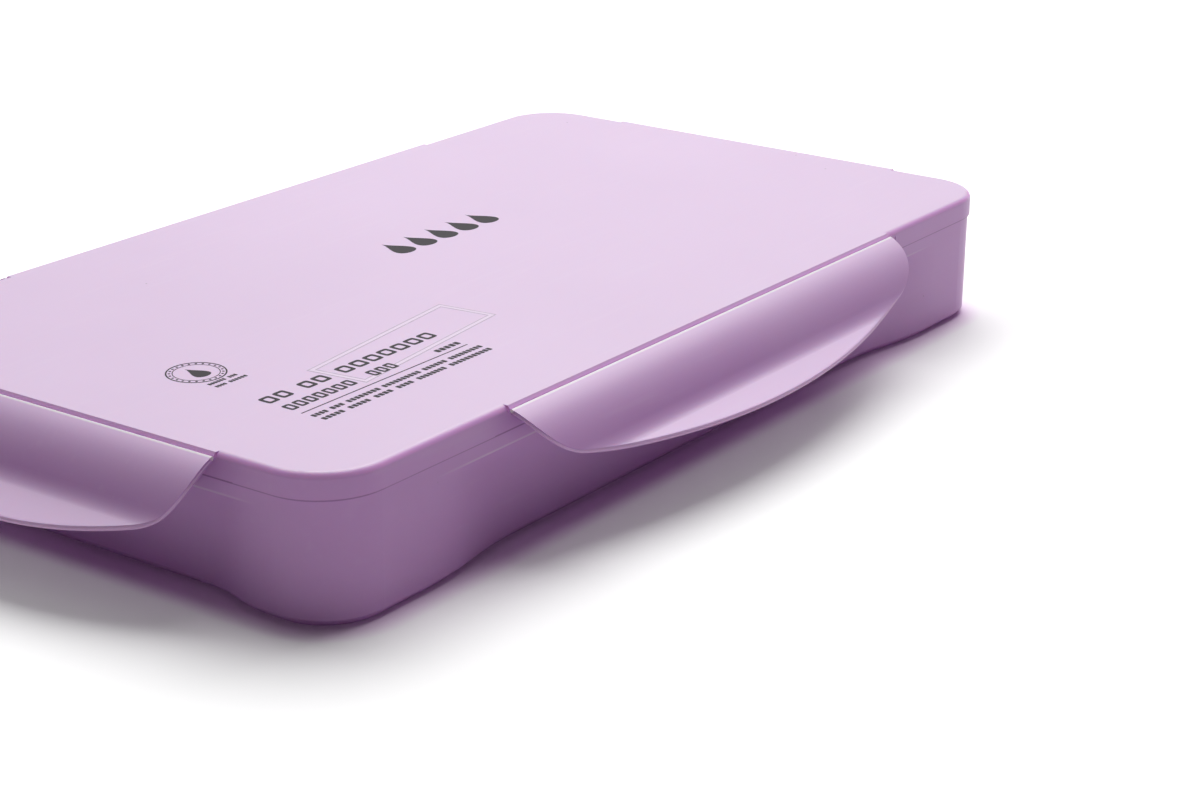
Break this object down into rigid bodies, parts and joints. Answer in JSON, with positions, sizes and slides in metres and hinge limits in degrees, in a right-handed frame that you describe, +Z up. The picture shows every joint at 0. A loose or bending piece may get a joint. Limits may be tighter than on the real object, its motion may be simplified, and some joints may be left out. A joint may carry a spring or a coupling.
{
  "type": "paint set box",
  "caption": "Flat rectangular paint set box with a lift-off lid, flared snap latch on each side, sealed paint cups, mixing palette and brushes inside",
  "frame": {"origin": "middle of the case on the plane it stands on", "axes": "+X along the long side, front is -Y, +Z up"},
  "size_m": [0.311, 0.1914, 0.0335],
  "materials": {
    "lilac_case": "satin polypropylene",
    "lilac_latch": "satin polypropylene",
    "white_palette": "glossy moulded",
    "cup_plastic": "milky moulded",
    "cup_film": "clear heat-sealed film",
    "brush_wood": "lacquered",
    "brush_ferrule": "polished, crimped",
    "brush_hair": "nylon hair",
    "paint_whites": "soft gouache paste",
    "paint_yellows": "soft gouache paste",
    "paint_oranges": "soft gouache paste",
    "paint_reds": "soft gouache paste",
    "paint_violets": "soft gouache paste",
    "paint_blues": "soft gouache paste",
    "paint_greens": "soft gouache paste",
    "paint_browns": "soft gouache paste",
    "paint_greys": "soft gouache paste"
  },
  "bodies": {
    "tray": {"base_tray": "lilac_case", "cups_whites": "cup_plastic", "paint_whites": "paint_whites", "films_whites": "cup_film", "cups_yellows": "cup_plastic", "paint_yellows": "paint_yellows", "films_yellows": "cup_film", "cups_oranges": "cup_plastic", "paint_oranges": "paint_oranges", "films_oranges": "cup_film", "cups_reds": "cup_plastic", "paint_reds": "paint_reds", "films_reds": "cup_film", "cups_violets": "cup_plastic", "paint_violets": "paint_violets", "films_violets": "cup_film", "cups_blues": "cup_plastic", "paint_blues": "paint_blues", "films_blues": "cup_film", "cups_greens": "cup_plastic", "paint_greens": "paint_greens", "films_greens": "cup_film", "cups_browns": "cup_plastic", "paint_browns": "paint_browns", "films_browns": "cup_film", "cups_greys": "cup_plastic", "paint_greys": "paint_greys", "films_greys": "cup_film"},
    "lid": {"lid": "lilac_case"},
    "latch_front": {"latch_front": "lilac_latch"},
    "latch_back": {"latch_back": "lilac_latch"},
    "latch_left": {"latch_left": "lilac_latch"},
    "latch_right": {"latch_right": "lilac_latch"},
    "palette": {"mixing_palette": "white_palette"},
    "brush_large": {"brush_large_handle": "brush_wood", "brush_large_ferrule": "brush_ferrule", "brush_large_hair": "brush_hair"},
    "brush_medium": {"brush_medium_handle": "brush_wood", "brush_medium_ferrule": "brush_ferrule", "brush_medium_hair": "brush_hair"},
    "brush_small": {"brush_small_handle": "brush_wood", "brush_small_ferrule": "brush_ferrule", "brush_small_hair": "brush_hair"}
  },
  "joints": [
    {"name": "lid_lift", "type": "slide", "parent": "tray", "child": "lid", "axis": [0, 0, 1], "range_m": [0, 0.095]},
    {"name": "latch_front_hinge", "type": "hinge", "parent": "lid", "child": "latch_front", "pos_m": [0, -0.077, 0.03245], "axis": [-1, 0, 0], "range_deg": [0, 100]},
    {"name": "latch_back_hinge", "type": "hinge", "parent": "lid", "child": "latch_back", "pos_m": [0, 0.077, 0.03245], "axis": [1, 0, 0], "range_deg": [0, 100]},
    {"name": "latch_left_hinge", "type": "hinge", "parent": "lid", "child": "latch_left", "pos_m": [-0.1345, 0, 0.03245], "axis": [0, 1, 0], "range_deg": [0, 100]},
    {"name": "latch_right_hinge", "type": "hinge", "parent": "lid", "child": "latch_right", "pos_m": [0.1345, 0, 0.03245], "axis": [0, -1, 0], "range_deg": [0, 100]},
    {"name": "palette_lift", "type": "slide", "parent": "tray", "child": "palette", "axis": [0, 0, 1], "range_m": [0, 0.057]},
    {"name": "brush_large_lift", "type": "slide", "parent": "tray", "child": "brush_large", "axis": [0, 0, 1], "range_m": [0, 0.0285]},
    {"name": "brush_medium_lift", "type": "slide", "parent": "tray", "child": "brush_medium", "axis": [0, 0, 1], "range_m": [0, 0.0285]},
    {"name": "brush_small_lift", "type": "slide", "parent": "tray", "child": "brush_small", "axis": [0, 0, 1], "range_m": [0, 0.0285]}
  ],
  "couplings": [
    {"joint": "palette_lift", "follows": "lid_lift", "ratio": 0.6},
    {"joint": "brush_large_lift", "follows": "lid_lift", "ratio": 0.3},
    {"joint": "brush_medium_lift", "follows": "lid_lift", "ratio": 0.3},
    {"joint": "brush_small_lift", "follows": "lid_lift", "ratio": 0.3}
  ]
}
